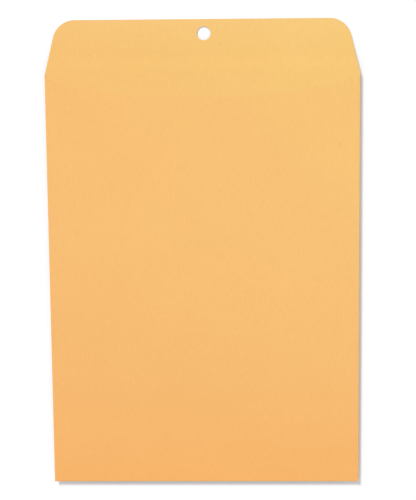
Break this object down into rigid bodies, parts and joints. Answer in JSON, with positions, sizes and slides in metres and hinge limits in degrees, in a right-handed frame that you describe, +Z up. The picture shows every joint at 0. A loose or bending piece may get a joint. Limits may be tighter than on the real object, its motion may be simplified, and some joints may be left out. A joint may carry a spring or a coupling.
{
  "type": "clasp envelope",
  "caption": "Large kraft paper envelope, open at one end, with a gummed folding flap whose hole fits over a bendable metal clasp.",
  "frame": {"origin": "bottom centre of the bounding box, on the table under the middle of the whole length", "axes": "+Z up out of the address side, +Y from the bottom fold to the flap, +X to the right seen from above"},
  "size_m": [0.2286, 0.3448, 0.0061],
  "materials": {
    "kraft_paper": "smooth uncoated golden kraft paper, matte, faint fibres",
    "patch_paper": "matte kraft reinforcing paper, a little darker",
    "seam_adhesive": "dried paper adhesive film",
    "flap_gum": "dry remoistenable gum, thin and satin",
    "tinned_steel": "bright tinned sheet steel, fine rolling marks"
  },
  "bodies": {
    "pocket": {"front_panel": "kraft_paper", "left_side_panel": "kraft_paper", "right_side_panel": "kraft_paper", "centre_seam_glue": "seam_adhesive", "bottom_flap": "kraft_paper", "bottom_flap_glue": "seam_adhesive", "flap_crease": "kraft_paper", "clasp_base": "tinned_steel"},
    "flap": {"closure_flap": "kraft_paper", "flap_gum": "flap_gum", "flap_hole_patch": "patch_paper"},
    "prong_left": {"clasp_prong_left": "tinned_steel"},
    "prong_right": {"clasp_prong_right": "tinned_steel"}
  },
  "joints": [
    {"name": "flap_fold", "type": "hinge", "parent": "pocket", "child": "flap", "pos_m": [0, 0.13237, 0.00279], "axis": [-1, 0, 0], "range_deg": [-50, 171], "deforming": ["flap_crease"]},
    {"name": "prong_left_bend", "type": "hinge", "parent": "pocket", "child": "prong_left", "pos_m": [0.0002, 0.10267, 0.00015], "axis": [0, -1, 0], "range_deg": [0, 90]},
    {"name": "prong_right_bend", "type": "hinge", "parent": "pocket", "child": "prong_right", "pos_m": [0.0026, 0.10267, 0.00015], "axis": [0, 1, 0], "range_deg": [0, 90]}
  ]
}
